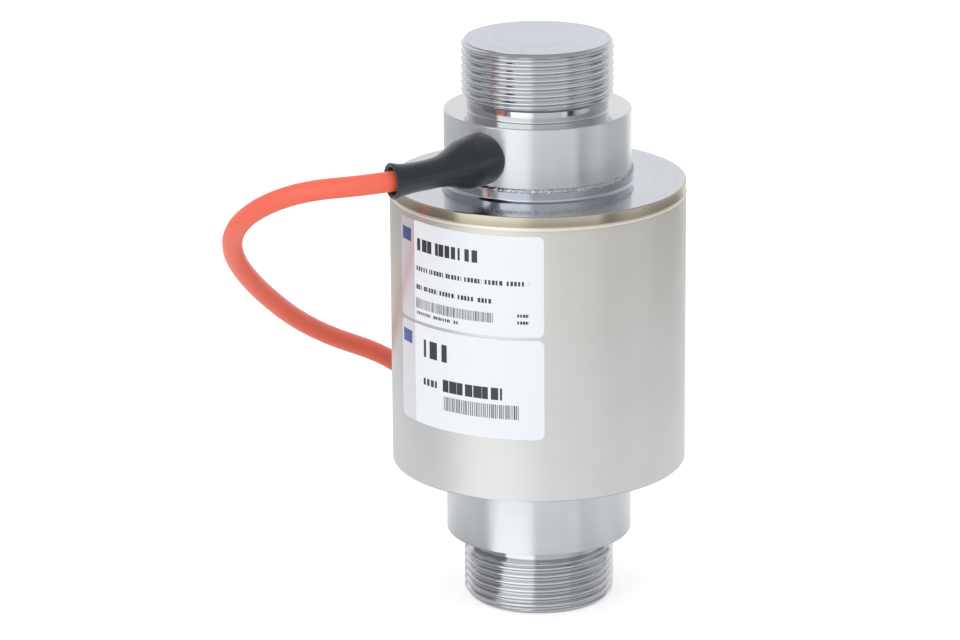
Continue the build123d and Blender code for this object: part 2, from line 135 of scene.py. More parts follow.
def coil_points():
    """Three layers of six turns: up the outer one, down the middle one, up the inner one and out on top."""
    first_angle = lead_in_angle + 180 / points_per_turn
    changes = []
    angle = first_angle
    level = 0
    for layer, climb_window in enumerate(climb_windows):
        step = -1 if layer == 1 else 1
        for _ in range(coil_levels - 1):
            begin, angle = next_window(angle, climb_window)
            changes.append((begin, angle, 0.0, step * cable_d))
            level += step
        if layer < len(shift_windows):
            begin, angle = next_window(angle, shift_windows[layer])
            changes.append((begin, angle, coil_layers[layer + 1] - coil_layers[layer], 0.0))
    # The last turn stops in the end sleeve
    begin, angle = next_window(angle, top_window)
    changes.append((begin, angle, 0.0, tail_z - coil_floor_z - level * cable_d))
    changes.append((angle, angle + move_out_turn, coil_mean_r - coil_layers[-1], 0.0))
    last_angle = next_window(angle, (cable_end_angle, cable_end_angle))[0]
    # The curve runs inside its control points, so they stand a little further out
    swell = 1 / cos(pi / points_per_turn)
    points = []
    angle = first_angle
    while angle < last_angle:
        radius, z = coil_layers[0], coil_floor_z
        for begin, end, outwards, upwards in changes:
            share = eased((angle - begin) / (end - begin))
            radius += outwards * share
            z += upwards * share
        points.append(around_coil(radius * swell, angle, z))
        angle += 360 / points_per_turn
    points.append(around_coil(coil_mean_r, last_angle, tail_z))
    return points


def make_cable():
    """The whole cable as one curve: the part in view, then the coil behind the casing."""
    points = [*route, *coil_points()]
    curve = bpy.data.curves.new("cable", "CURVE")
    curve.dimensions = "3D"
    spline = curve.splines.new("NURBS")
    spline.points.add(len(points) - 1)
    for control, (x, y, z) in zip(spline.points, points):
        control.co = (x * mm, y * mm, z * mm, 1.0)
        control.radius = cable_d / 2 * mm
    spline.order_u = 3
    spline.use_endpoint_u = True
    spline.resolution_u = 6
    curve.bevel_depth = 1.0
    curve.bevel_resolution = 5
    curve.use_fill_caps = True
    cable = bpy.data.objects.new("cable", curve)
    bpy.context.collection.objects.link(cable)
    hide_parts("cable_lead", "cable_coil")
    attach(cable, "root")
    return cable


def centre_line(cable):
    """The cable's own line, read from its curve without its thickness."""
    depth = cable.data.bevel_depth
    cable.data.bevel_depth = 0.0
    bpy.context.view_layer.update()
    line = bpy.data.meshes.new_from_object(cable.evaluated_get(bpy.context.evaluated_depsgraph_get()))
    cable.data.bevel_depth = depth
    points = [vert.co.copy() for vert in line.vertices]
    bpy.data.meshes.remove(line)
    return points


# Mesh helpers


def object_from(name, bm, materials):
    """Puts a bmesh into the scene as an object."""
    mesh = bpy.data.meshes.new(name)
    bm.to_mesh(mesh)
    bm.free()
    for material in materials:
        mesh.materials.append(material)
    made = bpy.data.objects.new(name, mesh)
    bpy.context.collection.objects.link(made)
    return made


def finished(name, bm, materials, node, sharp=35.0):
    """Turns a bmesh into a piece that rides with the body, smooth up to an angle between faces."""
    bmesh.ops.remove_doubles(bm, verts=bm.verts, dist=0.002 * mm)
    bmesh.ops.recalc_face_normals(bm, faces=bm.faces)
    piece = object_from(name, bm, materials)
    piece.data.shade_smooth()
    piece.data.set_sharp_from_angle(angle=radians(sharp))
    # Broad faces keep their own normals next to the small roundings
    flat_faces = piece.modifiers.new("flat_faces", "WEIGHTED_NORMAL")
    flat_faces.keep_sharp = True
    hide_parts(node)
    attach(piece, "root")


def outline(bm, points, rounded=(), closed=True):
    """A profile of (radius, height) points in millimetres; rounded gives (corner radius, point numbers)."""
    corners = [bm.verts.new((r * mm, 0, z * mm)) for r, z in points]
    for pair in zip(corners, corners[1:]):
        bm.edges.new(pair)
    if closed:
        bm.edges.new((corners[-1], corners[0]))
    for radius, numbers in rounded:
        bmesh.ops.bevel(
            bm, geom=[corners[n] for n in numbers], offset=radius * mm, offset_type="OFFSET", segments=4,
            profile=0.5, affect="VERTICES", material=-1,
        )
    return bm.verts[:] + bm.edges[:]


def turned(points, rounded=(), steps=256, closed=True):
    """A ring or a disc turned from a profile round the column's axis."""
    bm = bmesh.new()
    profile = outline(bm, points, rounded, closed)
    bmesh.ops.spin(
        bm, geom=profile, cent=(0, 0, 0), axis=(0, 0, 1), angle=2 * pi, steps=steps, use_merge=True
    )
    bmesh.ops.remove_doubles(bm, verts=bm.verts, dist=0.002 * mm)
    return bm


def join(bm, other):
    """Adds another bmesh to the first one."""
    carrier = bpy.data.meshes.new("carrier")
    other.to_mesh(carrier)
    other.free()
    bm.from_mesh(carrier)
    bpy.data.meshes.remove(carrier)


def everything(bm):
    """All of a bmesh, as its operators take it."""
    return bm.verts[:] + bm.edges[:] + bm.faces[:]


def verts_of(geometry):
    """Only the vertices of what an operator gives back."""
    return [part for part in geometry if isinstance(part, bmesh.types.BMVert)]


def roughen(bm, depth, grain_size, seed, only=None):
    """Moves the surface in and out by up to a depth, in bumps of about a grain's size, in millimetres."""
    bm.normal_update()
    shifts = []
    for vert in bm.verts:
        if only is None or only(vert.co):
            place = vert.co / (grain_size * mm) + Vector((seed, 0, 0))
            shifts.append((vert, vert.normal * noise.noise(place) * depth * mm))
    for vert, shift in shifts:
        vert.co += shift


def beyond(radius):
    """A test for the places further than a radius from the column's axis."""
    return lambda co: hypot(co.x, co.y) > radius * mm


# Node helpers


def from_srgb(red, green, blue):
    """A colour as the eye names it, 0 to 255, turned into the linear values that shaders take."""
    parts = [channel / 255 for channel in (red, green, blue)]
    return [p / 12.92 if p <= 0.04045 else ((p + 0.055) / 1.055) ** 2.4 for p in parts] + [1.0]


def grey(value):
    """A grey of an even brightness, 0 to 1."""
    return value, value, value, 1.0


def darker(colour, share):
    """A fixed colour at a share of its brightness."""
    return [part * share for part in colour[:3]] + [1.0]


def add(tree, kind, inputs=None, **settings):
    """Adds a node. An input is a plain value or the socket that feeds it."""
    made = tree.nodes.new(kind)
    for name, value in settings.items():
        setattr(made, name, value)
    for name, value in (inputs or {}).items():
        if isinstance(value, bpy.types.NodeSocket):
            tree.links.new(value, made.inputs[name])
        else:
            made.inputs[name].default_value = value
    return made


def sums(tree, operation, *values, clamp=False):
    """A number worked out from numbers."""
    inputs = dict(enumerate(values))
    return add(tree, "ShaderNodeMath", inputs, operation=operation, use_clamp=clamp).outputs[0]


def mapped(tree, value, start, end, span=(0.0, 1.0)):
    """A number that goes through a span, 0 to 1 unless given, while the value goes from start to end."""
    inputs = {"Value": value, "From Min": start, "From Max": end, "To Min": span[0], "To Max": span[1]}
    return add(tree, "ShaderNodeMapRange", inputs).outputs[0]


def varied(tree, value, middle, spread):
    """A number round a middle one, moved up and down by half of the spread."""
    return sums(tree, "MULTIPLY_ADD", value, spread, middle - spread / 2)


def blend_colours(tree, share, first, second, mode="MIX"):
    """The first colour at 0 and the second at 1, or another way of blending them."""
    inputs = {0: share, 6: first, 7: second}
    return add(tree, "ShaderNodeMix", inputs, data_type="RGBA", blend_type=mode).outputs[2]


def tinted(tree, colour, tint):
    """A colour multiplied by another."""
    return blend_colours(tree, 1.0, colour, tint, "MULTIPLY")


def shaded(tree, colour, tone):
    """A colour multiplied by a number."""
    even = add(tree, "ShaderNodeCombineColor", {0: tone, 1: tone, 2: tone}).outputs[0]
    return tinted(tree, colour, even)


def ramp(tree, value, stops):
    """A colour from a number, through stops of (number, colour)."""
    made = add(tree, "ShaderNodeValToRGB", {"Fac": value})
    elements = made.color_ramp.elements
    while len(elements) < len(stops):
        elements.new(1.0)
    for element, (place, colour) in zip(elements, stops):
        element.position = place
        element.color = colour if len(colour) == 4 else (*colour, 1.0)
    return made.outputs["Color"]


def own_place(tree):
    """The object's own coordinates, in metres."""
    return add(tree, "ShaderNodeTexCoord").outputs["Object"]


def parts_of(tree, place):
    """The sockets of x, y and z."""
    return add(tree, "ShaderNodeSeparateXYZ", {0: place}).outputs


def own_parts(tree):
    """The sockets of x, y and z in the object's own coordinates."""
    return parts_of(tree, own_place(tree))


def from_axis(tree, parts):
    """The distance from the column's axis."""
    squares = [sums(tree, "MULTIPLY", part, part) for part in (parts[0], parts[1])]
    return sums(tree, "SQRT", sums(tree, "ADD", *squares))


def soft_noise(tree, place, scale, detail, **more):
    """Cloudy noise from 0 to 1."""
    inputs = {"Vector": place, "Scale": scale, "Detail": detail, **more}
    return add(tree, "ShaderNodeTexNoise", inputs).outputs[0]


def new_group(name, inputs, outputs, kind="NodeSocketFloat"):
    """A shader node group. Its inputs are numbers with a default, and its outputs are all of one kind."""
    tree = bpy.data.node_groups.new(name, "ShaderNodeTree")
    for socket, default in inputs.items():
        made = tree.interface.new_socket(socket, in_out="INPUT", socket_type="NodeSocketFloat")
        made.default_value = default
    for socket in outputs:
        tree.interface.new_socket(socket, in_out="OUTPUT", socket_type=kind)
    return tree, add(tree, "NodeGroupInput").outputs, add(tree, "NodeGroupOutput").inputs


def place_group(tree, group, inputs=None):
    """Puts a node group into a material and gives its outputs."""
    return add(tree, "ShaderNodeGroup", inputs, node_tree=group).outputs


def turning_lines_group():
    """Fine lines that a lathe leaves round the axis: a height, and a slow change of tone between passes."""
    tree, given, put = new_group("turning_lines", {"Lines per metre": 9000.0}, ("Height", "Tone"))
    parts = own_parts(tree)
    lines_r = sums(tree, "MULTIPLY", from_axis(tree, parts), given["Lines per metre"])
    lines_z = sums(tree, "MULTIPLY", parts[2], given["Lines per metre"])
    drift = sums(tree, "MULTIPLY", sums(tree, "ADD", parts[0], parts[1]), 25.0)
    lines = add(tree, "ShaderNodeCombineXYZ", {0: lines_r, 1: lines_z, 2: drift}).outputs[0]
    wide_lines = add(tree, "ShaderNodeVectorMath", {0: lines, 1: (0.12, 0.12, 1.0)}, operation="MULTIPLY")
    tree.links.new(soft_noise(tree, lines, 1.0, 3.0, Roughness=0.65), put["Height"])
    tree.links.new(soft_noise(tree, wide_lines.outputs[0], 1.0, 2.0), put["Tone"])
    return tree


def handling_group():
    """Faint smudges, and a few hairline scratches, from handling."""
    tree, given, put = new_group("handling_marks", {"Scale": 60.0}, ("Smudge", "Scratch"))
    place = own_place(tree)
    cloud = soft_noise(tree, place, given["Scale"], 5.0, Roughness=0.6, Distortion=0.6)
    stretch = {"Vector": place, "Rotation": (0.3, 0.9, 0.5), "Scale": (40, 1600, 900)}
    hair = soft_noise(tree, add(tree, "ShaderNodeMapping", stretch).outputs[0], 1.0, 1.0)
    tree.links.new(cloud, put["Smudge"])
    tree.links.new(mapped(tree, hair, 0.77, 0.82), put["Scratch"])
    return tree


def grain_group():
    """An even fine grain, as on blasted or pickled metal, moulded rubber and film."""
    tree, given, put = new_group("grain", {"Grains per metre": 4000.0}, ("Height", "Tone"))
    place = own_place(tree)
    tree.links.new(soft_noise(tree, place, given["Grains per metre"], 2.0), put["Height"])
    tree.links.new(soft_noise(tree, place, 45.0, 6.0, Roughness=0.62), put["Tone"])
    return tree


def heat_tint_group():
    """Colours that welding leaves on steel: Heat is 1 at the weld and 0 where the metal stayed cool."""
    tree, given, put = new_group("heat_tint", {"Heat": 0.0}, ("Tint",), "NodeSocketColor")
    uneven = soft_noise(tree, own_place(tree), 70.0, 3.0)
    shift = sums(tree, "MULTIPLY", sums(tree, "SUBTRACT", uneven, 0.5), 0.30)
    heat = sums(tree, "ADD", given["Heat"], shift, clamp=True)
    tint = ramp(tree, heat, [
        (0.00, (1.0, 1.0, 1.0)),
        (0.30, (0.97, 0.94, 0.86)),
        (0.55, (0.83, 0.77, 0.64)),
        (0.78, (0.72, 0.66, 0.55)),
        (1.00, (0.82, 0.77, 0.67)),
    ])
    tree.links.new(tint, put["Tint"])
    return tree


def bar_group():
    """A mask for a printed bar: 1 inside its left, right, low and high edges."""
    edges = {"X": 0.0, "Y": 0.0, "Left": 0.0, "Right": 1.0, "Low": 0.0, "High": 1.0}
    tree, given, put = new_group("printed_bar", edges, ("Mask",))
    mask = 1.0
    for part, low, high in (("X", "Left", "Right"), ("Y", "Low", "High")):
        mask = sums(tree, "MULTIPLY", mask, sums(tree, "GREATER_THAN", given[part], given[low]))
        mask = sums(tree, "MULTIPLY", mask, sums(tree, "LESS_THAN", given[part], given[high]))
    tree.links.new(mask, put["Mask"])
    return tree


def blocks_group():
    """Breaks a bar into blocks of random width, as plain stand-ins for print."""
    values = {"X": 0.0, "Blocks per mm": 1.0, "Ink": 0.7, "Words": 0.0, "Seed": 0.0}
    tree, given, put = new_group("print_blocks", values, ("Mask",))
    along = sums(tree, "MULTIPLY", given["X"], given["Blocks per mm"])
    cell = sums(tree, "ADD", sums(tree, "FLOOR", along), given["Seed"])
    chance = add(tree, "ShaderNodeTexWhiteNoise", {"W": cell}, noise_dimensions="1D").outputs["Value"]
    width = sums(tree, "MULTIPLY_ADD", chance, 0.35, sums(tree, "SUBTRACT", given["Ink"], 0.175))
    ink = sums(tree, "LESS_THAN", sums(tree, "FRACT", along), width)
    word_place = sums(tree, "MULTIPLY_ADD", along, given["Words"], given["Seed"])
    words = sums(tree, "LESS_THAN", sums(tree, "FRACT", word_place), 0.86)
    tree.links.new(sums(tree, "MULTIPLY", ink, words), put["Mask"])
    return tree


turning_lines = turning_lines_group()
handling_marks = handling_group()
grain = grain_group()
heat_tint = heat_tint_group()
printed_bar = bar_group()
print_blocks = blocks_group()


# Materials


def new_material(name, **values):
    """A material, with plain values set on its shader. An underscore in a name stands for a space."""
    made = bpy.data.materials.new(name)
    made.use_nodes = True
    shader = made.node_tree.nodes["Principled BSDF"]
    for socket, value in values.items():
        shader.inputs[socket.replace("_", " ")].default_value = value
    return made, made.node_tree, shader


def bumped(tree, shader, height, strength, depth):
    """Lets a texture's height stand out by a depth in millimetres."""
    bump = add(tree, "ShaderNodeBump", {"Height": height, "Strength": strength, "Distance": depth * mm})
    tree.links.new(bump.outputs[0], shader.inputs["Normal"])


def turned_steel(name, colour, roughness, lines_per_metre, line_depth, stretch, uneven=0.16, heat_reach=0,
                 dark_roots=False):
    """Bright steel with turning lines round the axis, of some depth in millimetres.

    heat_reach is how far the seam weld's tint goes in it, in millimetres, and the last flag paints shade into
    a thread's roots.
    """
    made, tree, shader = new_material(name, Metallic=1.0, Anisotropic=stretch, Anisotropic_Rotation=0.25)
    tangent = add(tree, "ShaderNodeTangent", direction_type="RADIAL", axis="Z")
    tree.links.new(tangent.outputs[0], shader.inputs["Tangent"])
    lines = place_group(tree, turning_lines, {"Lines per metre": lines_per_metre})
    marks = place_group(tree, handling_marks)
    base = shaded(tree, colour, varied(tree, lines["Tone"], 1.0, uneven))
    # Painted shade in a thread's roots: darkest at the root radius, fading out 0.45 mm below the crest
    if dark_roots:
        root_edge_r = thread_r - 0.45
        out_of_root = mapped(tree, from_axis(tree, own_parts(tree)), thread_root_r * mm, root_edge_r * mm)
        base = blend_colours(tree, out_of_root, tinted(tree, base, grey(0.80)), base)
    if heat_reach:
        from_seam = sums(tree, "ABSOLUTE", sums(tree, "SUBTRACT", own_parts(tree)[2], seam_z * mm))
        heat = mapped(tree, from_seam, 0.0, heat_reach * mm, span=(1.0, 0.0))
        base = tinted(tree, base, place_group(tree, heat_tint, {"Heat": heat})["Tint"])
    tree.links.new(base, shader.inputs["Base Color"])
    rough = sums(tree, "ADD", varied(tree, marks["Smudge"], roughness, 0.14),
                 sums(tree, "MULTIPLY", marks["Scratch"], 0.10))
    tree.links.new(rough, shader.inputs["Roughness"])
    bumped(tree, shader, lines["Height"], 0.6, line_depth)
    return made


def casing_steel():
    """Satin steel of the tube: fine grain, soft clouds, and straw tint near the upper seam."""
    made, tree, shader = new_material("satin_casing_steel", Metallic=1.0)
    warm_from_z, heat_reach, most_heat = 50.0, 1.5, 0.4
    texture = place_group(tree, grain, {"Grains per metre": 5200.0})
    marks = place_group(tree, handling_marks, {"Scale": 35.0})
    height = own_parts(tree)[2]
    warm = mapped(tree, height, warm_from_z * mm, seam_z * mm)
    base = blend_colours(tree, warm, from_srgb(205, 206, 207), from_srgb(206, 204, 199))
    base = shaded(tree, base, varied(tree, texture["Tone"], 1.0, 0.14))
    heat = mapped(tree, height, (seam_z - heat_reach) * mm, seam_z * mm, span=(0.0, most_heat))
    base = tinted(tree, base, place_group(tree, heat_tint, {"Heat": heat})["Tint"])
    tree.links.new(base, shader.inputs["Base Color"])
    tree.links.new(varied(tree, marks["Smudge"], 0.42, 0.16), shader.inputs["Roughness"])
    bumped(tree, shader, texture["Height"], 0.35, 0.02)
    return made


def weld_steel(name, colour, smoothest, depth):
    """Weld metal: bright and dull patches, and a grain of some depth in millimetres."""
    made, tree, shader = new_material(name, Metallic=1.0)
    texture = place_group(tree, grain, {"Grains per metre": 3000.0})
    patches = place_group(tree, handling_marks, {"Scale": 900.0})
    base = blend_colours(tree, patches["Smudge"], colour, darker(colour, 0.9))
    tree.links.new(base, shader.inputs["Base Color"])
    rough = sums(tree, "MULTIPLY_ADD", patches["Smudge"], 0.3, smoothest)
    tree.links.new(rough, shader.inputs["Roughness"])
    bumped(tree, shader, texture["Height"], 0.5, depth)
    return made


def plastic(name, colour, roughness, grains=3000.0, depth=0.01, tone=0.12, sheen=0.0, coat=0.0):
    """Cable jacket, sleeve, tape and other plastics: an even grain and a slight change of tone."""
    made, tree, shader = new_material(
        name, Sheen_Weight=sheen, Sheen_Roughness=0.4, Coat_Weight=coat, Coat_Roughness=0.25
    )
    texture = place_group(tree, grain, {"Grains per metre": grains})
    marks = place_group(tree, handling_marks, {"Scale": 120.0})
    base = shaded(tree, colour, varied(tree, texture["Tone"], 1.0, 2 * tone))
    tree.links.new(base, shader.inputs["Base Color"])
    tree.links.new(varied(tree, marks["Smudge"], roughness, 0.16), shader.inputs["Roughness"])
    bumped(tree, shader, texture["Height"], 0.4, depth)
    return made


def plain_metal(name, colour, roughness):
    """Small metal parts: wire, terminals, screws and spacers."""
    made, tree, shader = new_material(name, Metallic=1.0)
    texture = place_group(tree, grain, {"Grains per metre": 6000.0})
    base = blend_colours(tree, texture["Tone"], colour, darker(colour, 0.8))
    tree.links.new(base, shader.inputs["Base Color"])
    tree.links.new(varied(tree, texture["Tone"], roughness, 0.2), shader.inputs["Roughness"])
    bumped(tree, shader, texture["Height"], 0.2, 0.01)
    return made


def label_film(name, bars):
    """White film with a silver strip at its left edge and plain printed bars.

    A bar is (left, right, low, high, blocks per mm, ink, words per block, blue); without blocks it is solid.
    """
    white, silver = from_srgb(246, 249, 252), from_srgb(224, 222, 228)
    blue_ink, black_ink = from_srgb(84, 92, 160), from_srgb(48, 49, 54)
    made, tree, shader = new_material(name)
    parts = parts_of(tree, add(tree, "ShaderNodeUVMap", uv_map="film").outputs[0])
    x, y = sums(tree, "MULTIPLY", parts[0], label_w), sums(tree, "MULTIPLY", parts[1], label_h)
    texture = place_group(tree, grain, {"Grains per metre": 2500.0})
    strip = sums(tree, "LESS_THAN", x, strip_w)
    base = blend_colours(tree, strip, white, silver)
    for number, (left, right, low, high, blocks, ink, words, blue) in enumerate(bars):
        edges = {"X": x, "Y": y, "Left": left, "Right": right, "Low": low, "High": high}
        mask = place_group(tree, printed_bar, edges)[0]
        if blocks:
            seed = 13.37 * number
            spacing = {"X": x, "Blocks per mm": blocks, "Ink": ink, "Words": words, "Seed": seed}
            mask = sums(tree, "MULTIPLY", mask, place_group(tree, print_blocks, spacing)[0])
        base = blend_colours(tree, mask, base, blue_ink if blue else black_ink)
    tree.links.new(base, shader.inputs["Base Color"])
    rough = sums(tree, "SUBTRACT", varied(tree, texture["Tone"], 0.33, 0.1),
                 sums(tree, "MULTIPLY", strip, 0.08))
    tree.links.new(rough, shader.inputs["Roughness"])
    tree.links.new(sums(tree, "MULTIPLY", strip, 0.55), shader.inputs["Metallic"])
    bumped(tree, shader, texture["Height"], 0.15, 0.01)
    return made


# Pieces


def thread(low_z, high_z, limits):
    """A helical thread cut between two heights.

    limits are (height, largest radius) points, which the thread fades into at its ends.
    """
    steps = 160
    half = thread_pitch / 2
    thread_depth = thread_r - thread_root_r
    # The flanks lean 30 degrees, and crest and root share what they leave of the pitch
    flank = thread_depth * 0.5774
    crest = 0.42 * (half - flank)
    root = half - flank - crest
    corner_r = 0.17
    profile = (
        (thread_root_r, -half),
        (thread_root_r, -half + root),
        (thread_r, -crest),
        (thread_r, crest),
        (thread_root_r, half - root),
        (thread_root_r, half),
    )
    turns = int((high_z - low_z) / thread_pitch) + 3
    bm = bmesh.new()
    start = low_z - 1.5 * thread_pitch
    outline(bm, [(r, z + start) for r, z in profile], rounded=((corner_r, (1, 2, 3, 4)),), closed=False)
    flanks = [e for e in bm.edges if abs(e.verts[0].co.x - e.verts[1].co.x) > 0.3 * thread_depth * mm]
    bmesh.ops.subdivide_edges(bm, edges=flanks, cuts=3)
    bmesh.ops.spin(
        bm, geom=bm.verts[:] + bm.edges[:], cent=(0, 0, 0), axis=(0, 0, 1), angle=2 * pi, steps=steps,
        dvec=(0, 0, thread_pitch * mm / steps),
    )
    one_turn = everything(bm)
    for number in range(1, turns):
        copied = bmesh.ops.duplicate(bm, geom=one_turn)["geom"]
        bmesh.ops.translate(bm, verts=verts_of(copied), vec=(0, 0, number * thread_pitch * mm))
    bmesh.ops.remove_doubles(bm, verts=bm.verts, dist=0.01 * mm)
    for vert in bm.verts:
        radius, height = hypot(vert.co.x, vert.co.y), vert.co.z / mm
        for (z_a, r_a), (z_b, r_b) in zip(limits, limits[1:]):
            if z_a <= height <= z_b:
                largest = (r_a + (r_b - r_a) * (height - z_a) / (z_b - z_a)) * mm
                if radius > largest:
                    vert.co.xy *= largest / radius
    for height, side in ((low_z, -1), (high_z, 1)):
        cut = bmesh.ops.bisect_plane(
            bm, geom=everything(bm), plane_co=(0, 0, height * mm), plane_no=(0, 0, side), clear_outer=True
        )
        rim_edges = [part for part in cut["geom_cut"] if isinstance(part, bmesh.types.BMEdge)]
        bmesh.ops.edgeloop_fill(bm, edges=rim_edges)
    return bm


def make_measuring_body(collar_steel, neck_steel, face_steel, thread_steel):
    """One turned piece: gauge column, collars, undercut necks and a real thread on each stub."""
    low_shoulder, high_shoulder = casing_low_z + shoulder_depth, seam_z - shoulder_depth
    edge_r, undercut_r, column_corner_r = 0.4, 0.3, 3.9
    bm = turned(
        (
            (0, lower_thread_z), (neck_r, lower_thread_z), (neck_r, collar_low_z), (collar_r, collar_low_z),
            (collar_r, low_shoulder), (column_r, low_shoulder), (column_r, high_shoulder),
            (collar_r, high_shoulder), (collar_r, collar_top_z), (neck_r, collar_top_z),
            (neck_r, upper_thread_z), (0, upper_thread_z),
        ),
        rounded=((edge_r, (3, 8)), (undercut_r, (2, 9)), (column_corner_r, (5, 6))), steps=288, closed=False,
    )
    # Flats for the gauges
    flat_margin = 7
    for vert in bm.verts:
        if low_shoulder + flat_margin <= vert.co.z / mm <= high_shoulder - flat_margin:
            for axis in (0, 1):
                vert.co[axis] = max(-column_flat_r * mm, min(column_flat_r * mm, vert.co[axis]))
    # Each thread runs out over a short way at its neck, and has a chamfer at its end
    run_out, past_neck = 1.4, 1.2
    top_chamfer, foot_chamfer, foot_r = 0.9, 1.5, 18.0
    join(bm, thread(upper_thread_z, top_z, (
        (upper_thread_z - past_neck, neck_r), (upper_thread_z, neck_r), (upper_thread_z + run_out, thread_r),
        (top_z - top_chamfer, thread_r), (top_z + 4, 14.6),
    )))
    join(bm, thread(0.0, lower_thread_z, (
        (-4.0, 14.0), (0.0, foot_r), (foot_chamfer, thread_r), (lower_thread_z - run_out, thread_r),
        (lower_thread_z, neck_r), (lower_thread_z + past_neck, neck_r),
    )))
    bmesh.ops.recalc_face_normals(bm, faces=bm.faces)
    materials = [collar_steel, neck_steel, face_steel, thread_steel]
    neck_slot, face_slot, thread_slot = 1, 2, 3
    for face in bm.faces:
        z = face.calc_center_median().z / mm
        if z < 0.01 or z > top_z - 0.01:
            face.material_index = face_slot
        elif z < lower_thread_z - 0.1 or z > upper_thread_z + 0.1:
            face.material_index = thread_slot
        elif z < collar_low_z + 0.05 or z > collar_top_z - 0.05:
            face.material_index = neck_slot
    finished("turned_body", bm, materials, "measuring_body")


def make_casing(tube_steel, cover_steel, rim_steel):
    """The tube, and a cover with a thin lip in each of its ends."""
    groove, diaphragm, relief_r = 0.5, 0.8, 31.5
    spigot_r, spigot_in_r, spigot_depth = casing_bore_r - 0.05, 33.45, 1.5
    tube_edge_r, plate_edge_r, groove_edge_r = 0.5, 0.35, 0.1
    lip_root_r, lip_edge_r = 0.6, 0.12
    bm = turned(
        (
            (casing_bore_r + groove, casing_low_z), (casing_r, casing_low_z), (casing_r, seam_z - groove),
            (casing_r - groove, seam_z), (casing_bore_r, seam_z), (casing_bore_r, casing_low_z + groove),
        ),
        rounded=((tube_edge_r, (1,)), (groove_edge_r, (2,))),
    )
    finished("tube", bm, [tube_steel], "casing_tube")
    bm = turned(
        (
            (lip_out_r, cover_z), (lip_out_r, cover_z + lip_h), (lip_in_r, cover_z + lip_h),
            (lip_in_r, cover_z - diaphragm), (relief_r, cover_z - diaphragm), (spigot_in_r, seam_z),
            (spigot_in_r, seam_z - spigot_depth), (spigot_r, seam_z - spigot_depth), (spigot_r, seam_z),
            (casing_r - groove, seam_z), (casing_r, seam_z + groove), (casing_r, cover_z),
        ),
        rounded=((lip_root_r, (0,)), (lip_edge_r, (1,)), (plate_edge_r, (11,)), (groove_edge_r, (10,))),
    )
    on_rim = beyond(casing_r - 0.3)
    for face in bm.faces:
        centre = face.calc_center_median()
        if centre.z > seam_z * mm and on_rim(centre):
            face.material_index = 1
    finished("lipped_cover", bm, [cover_steel, rim_steel], "top_cover")
    cover_depth = 3.0
    bm = turned(
        (
            (lip_out_r, casing_low_z), (lip_out_r, casing_low_z - lip_h), (lip_in_r, casing_low_z - lip_h),
            (lip_in_r, casing_low_z + diaphragm), (relief_r, casing_low_z + diaphragm),
            (relief_r + diaphragm, casing_low_z + cover_depth), (spigot_r, casing_low_z + cover_depth),
            (spigot_r, casing_low_z + groove), (spigot_r - groove, casing_low_z),
        ),
        rounded=((lip_root_r, (0,)), (lip_edge_r, (1,))),
    )
    finished("lower_cover", bm, [cover_steel], "base_cover")


def make_welds(seam_metal, bead_metal):
    """A seam where each cover meets the tube, and a rough bead on each cover's lip."""
    # (out from the tube's wall, up from the joint)
    upper_seam = ((-0.5, 0), (-0.05, -0.45), (0.10, -0.22), (0.15, 0), (0.10, 0.22), (-0.05, 0.45))
    bm = turned([(casing_r + out, seam_z + up) for out, up in upper_seam], steps=540)
    roughen(bm, depth=0.02, grain_size=1.6, seed=3.0, only=beyond(casing_r + 0.05))
    finished("outer_seam", bm, [seam_metal], "top_seam_weld", sharp=70)
    # (out from the tube's bore, up from the joint)
    lower_seam = (
        (-0.55, 0), (-0.05, 0.45), (0, 0.45), (0.5, 0), (0.25, -0.12), (-0.05, -0.15), (-0.3, -0.12),
    )
    bm = turned([(casing_bore_r + out, casing_low_z + up) for out, up in lower_seam], steps=540)
    low_z = casing_low_z - 0.05
    roughen(bm, depth=0.05, grain_size=0.9, seed=5.0, only=lambda co: co.z < low_z * mm)
    finished("lower_seam", bm, [seam_metal], "base_seam_weld", sharp=70)
    # (radius, way from the lip's end)
    bead = (
        (collar_r - 0.1, -0.05), (lip_out_r, -0.05), (lip_out_r + 0.05, 0.22), (lip_out_r - 0.02, 0.5),
        (lip_out_r - 0.18, 0.76), (collar_r + 0.02, 0.95), (collar_r - 0.1, 1.0),
    )
    for name, node, end_z, side in (
        ("upper_bead", "upper_neck_weld", cover_z + lip_h, 1),
        ("lower_bead", "lower_neck_weld", casing_low_z - lip_h, -1),
    ):
        bm = turned([(radius, end_z + way * side) for radius, way in bead], steps=900)
        tall_edges = [
            edge for edge in bm.edges
            if edge.calc_length() > 0.2 * mm and abs(edge.verts[0].co.z - edge.verts[1].co.z) > 0.05 * mm
        ]
        bmesh.ops.subdivide_edges(bm, edges=tall_edges, cuts=1)
        for depth, grain_size, seed in ((0.22, 0.42, 11.0), (0.10, 0.17, 17.0)):
            roughen(bm, depth, grain_size, seed * side, beyond(collar_r + 0.01))
        finished(name, bm, [bead_metal], node, sharp=80)


